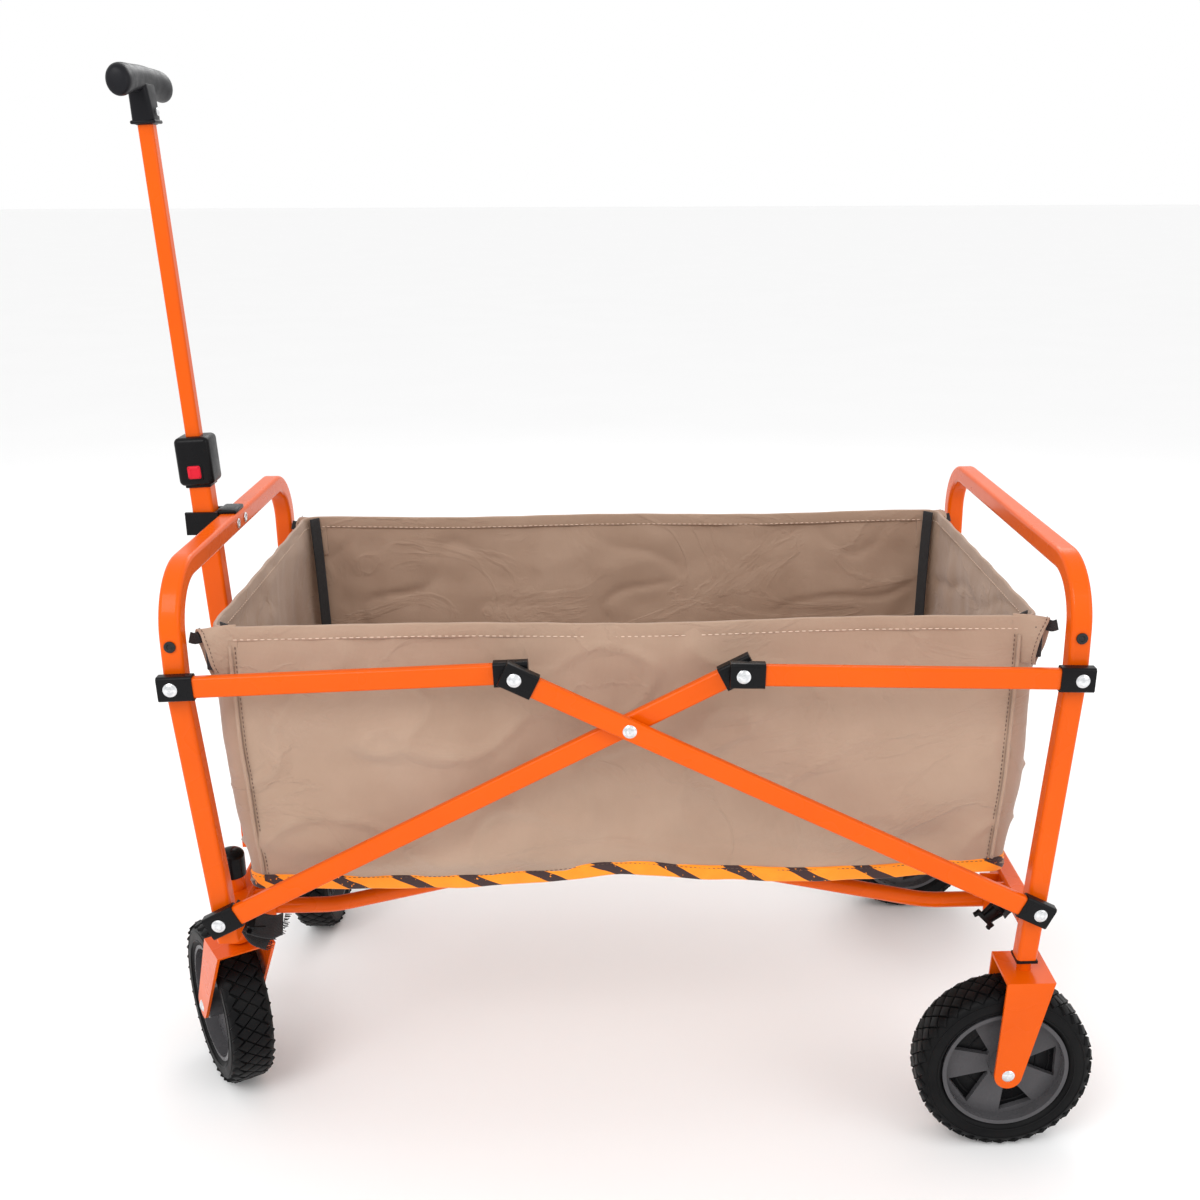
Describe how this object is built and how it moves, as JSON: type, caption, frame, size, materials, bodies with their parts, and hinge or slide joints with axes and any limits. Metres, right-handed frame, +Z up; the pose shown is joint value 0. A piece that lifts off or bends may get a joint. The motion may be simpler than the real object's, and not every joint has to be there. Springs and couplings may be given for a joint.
{
  "type": "folding wagon with pull handle",
  "caption": "Folding utility wagon: fabric bag in a hinged tube frame with swivel casters in front, fixed wheels behind and a telescopic T-handle.",
  "frame": {"origin": "middle of the ground rectangle that the standing wagon covers, on the ground", "axes": "+X along the wagon from the handle end to the rear end, +Y to its left side as pulled from the handle end, +Z up"},
  "size_m": [0.9692, 0.59, 1.0571],
  "materials": {
    "orange_paint": "gloss powder coat",
    "black_plastic": "fine satin texture",
    "zinc": "bright zinc",
    "black_screw": "black",
    "bag_fabric": "woven polyester",
    "mat_fabric": "woven polyester over boards",
    "webbing": "woven black webbing",
    "tyre_rubber": "matt",
    "rim_grey": "satin moulded",
    "button_red": "gloss",
    "grip_black": "soft satin"
  },
  "bodies": {
    "rear_frame": {"rear_hoop": "orange_paint", "rear_cross_tube": "orange_paint", "rear_pivot_rivets": "zinc", "rear_hoop_screws": "black_screw", "rear_fork_near": "orange_paint", "rear_fork_far": "orange_paint", "rear_axle_bolt_near": "zinc", "rear_axle_bolt_far": "zinc", "rear_post_plugs": "black_plastic", "rear_rail_hinges": "orange_paint", "bag": "bag_fabric", "floor_mat": "mat_fabric", "rear_corner_straps": "webbing", "buckle_strap": "webbing", "buckle": "black_plastic"},
    "scissor_bars_a": {"scissor_bar_a_near": "orange_paint", "scissor_bar_a_far": "orange_paint", "scissor_bar_a_caps": "black_plastic", "scissor_rivets": "zinc"},
    "scissor_bars_b": {"scissor_bar_b_near": "orange_paint", "scissor_bar_b_far": "orange_paint", "scissor_bar_b_caps": "black_plastic"},
    "front_frame": {"front_hoop": "orange_paint", "front_cross_tube": "orange_paint", "front_pivot_rivets": "zinc", "front_hoop_screws": "black_screw", "caster_head_tubes": "orange_paint", "caster_head_caps": "black_plastic", "front_rail_hinges": "orange_paint", "handle_bracket": "orange_paint", "handle_hinge_pin": "zinc", "handle_clip": "black_plastic", "clip_screws": "black_screw", "front_corner_straps": "webbing", "front_tie_strap": "webbing"},
    "front_links": {"front_side_links": "orange_paint", "front_side_link_caps": "black_plastic"},
    "rear_links": {"rear_side_links": "orange_paint", "rear_side_link_caps": "black_plastic", "rear_knee_rivets": "zinc"},
    "front_rails": {"front_floor_rails": "orange_paint"},
    "rear_rails": {"rear_floor_rails": "orange_paint"},
    "caster_near": {"caster_fork_near": "orange_paint", "front_axle_bolt_near": "zinc"},
    "caster_far": {"caster_fork_far": "orange_paint", "front_axle_bolt_far": "zinc"},
    "front_wheel_near": {"front_tyre_near": "tyre_rubber", "front_rim_near": "rim_grey"},
    "front_wheel_far": {"front_tyre_far": "tyre_rubber", "front_rim_far": "rim_grey"},
    "rear_wheel_near": {"rear_tyre_near": "tyre_rubber", "rear_rim_near": "rim_grey"},
    "rear_wheel_far": {"rear_tyre_far": "tyre_rubber", "rear_rim_far": "rim_grey"},
    "handle": {"handle_lower_tube": "orange_paint", "handle_collar": "black_plastic"},
    "handle_button": {"handle_button": "button_red"},
    "handle_upper": {"handle_upper_tube": "orange_paint", "handle_grip": "grip_black", "handle_neck_screw": "zinc"}
  },
  "joints": [
    {"name": "fold", "type": "hinge", "parent": "rear_frame", "child": "scissor_bars_a", "pos_m": [0.4154, -0.02251, 0.267], "axis": [0, 1, 0], "range_deg": [0, 50], "deforming": ["bag", "floor_mat"]},
    {"name": "scissor", "type": "hinge", "parent": "scissor_bars_a", "child": "scissor_bars_b", "pos_m": [0.0194, -0.02251, 0.466], "axis": [0, 1, 0], "range_deg": [-100, 0]},
    {"name": "front_frame_fold", "type": "hinge", "parent": "scissor_bars_b", "child": "front_frame", "pos_m": [-0.3766, -0.02251, 0.267], "axis": [0, 1, 0], "range_deg": [0, 50]},
    {"name": "front_link_fold", "type": "hinge", "parent": "front_frame", "child": "front_links", "pos_m": [-0.3966, -0.02251, 0.509], "axis": [0, 1, 0], "range_deg": [-70.83, 0]},
    {"name": "rear_link_fold", "type": "hinge", "parent": "rear_frame", "child": "rear_links", "pos_m": [0.4354, -0.02251, 0.509], "axis": [0, 1, 0], "range_deg": [0, 70.83]},
    {"name": "front_rail_fold", "type": "hinge", "parent": "front_frame", "child": "front_rails", "pos_m": [-0.3546, -0.02251, 0.232], "axis": [0, 1, 0], "range_deg": [-69.41, 0]},
    {"name": "rear_rail_fold", "type": "hinge", "parent": "rear_frame", "child": "rear_rails", "pos_m": [0.3934, -0.02251, 0.232], "axis": [0, 1, 0], "range_deg": [0, 69.41]},
    {"name": "caster_near_swivel", "type": "hinge", "parent": "front_frame", "child": "caster_near", "pos_m": [-0.3866, -0.1795, 0], "axis": [0, 0, 1], "continuous": true},
    {"name": "caster_far_swivel", "type": "hinge", "parent": "front_frame", "child": "caster_far", "pos_m": [-0.3866, 0.1345, 0], "axis": [0, 0, 1], "continuous": true},
    {"name": "front_wheel_near_spin", "type": "hinge", "parent": "caster_near", "child": "front_wheel_near", "pos_m": [-0.42266, -0.1195, 0.09], "axis": [0.8572, 0.515, 0], "continuous": true},
    {"name": "front_wheel_far_spin", "type": "hinge", "parent": "caster_far", "child": "front_wheel_far", "pos_m": [-0.38416, 0.20445, 0.09], "axis": [0.9994, -0.0349, 0], "continuous": true},
    {"name": "rear_wheel_near_spin", "type": "hinge", "parent": "rear_frame", "child": "rear_wheel_near", "pos_m": [0.3946, -0.2625, 0.09], "axis": [0, 1, 0], "continuous": true},
    {"name": "rear_wheel_far_spin", "type": "hinge", "parent": "rear_frame", "child": "rear_wheel_far", "pos_m": [0.3946, 0.21749, 0.09], "axis": [0, 1, 0], "continuous": true},
    {"name": "handle_tilt", "type": "hinge", "parent": "front_frame", "child": "handle", "pos_m": [-0.4056, -0.02251, 0.246], "axis": [0, 1, 0], "range_deg": [-95, 0]},
    {"name": "handle_slide", "type": "slide", "parent": "handle", "child": "handle_upper", "axis": [-0.0471, 0, 0.9989], "range_m": [-0.29, 0]},
    {"name": "button_press", "type": "slide", "parent": "handle", "child": "handle_button", "axis": [0, 1, 0], "range_m": [0, 0.0025], "stiffness_N_per_m": 300, "springref_m": -0.003}
  ],
  "couplings": [
    {"joint": "scissor", "follows": "fold", "ratio": -2},
    {"joint": "front_frame_fold", "follows": "fold", "ratio": 1},
    {"joint": "front_link_fold", "follows": "fold", "ratio": -1.4163},
    {"joint": "rear_link_fold", "follows": "fold", "ratio": 1.4163},
    {"joint": "front_rail_fold", "follows": "fold", "ratio": -1.388},
    {"joint": "rear_rail_fold", "follows": "fold", "ratio": 1.388}
  ]
}
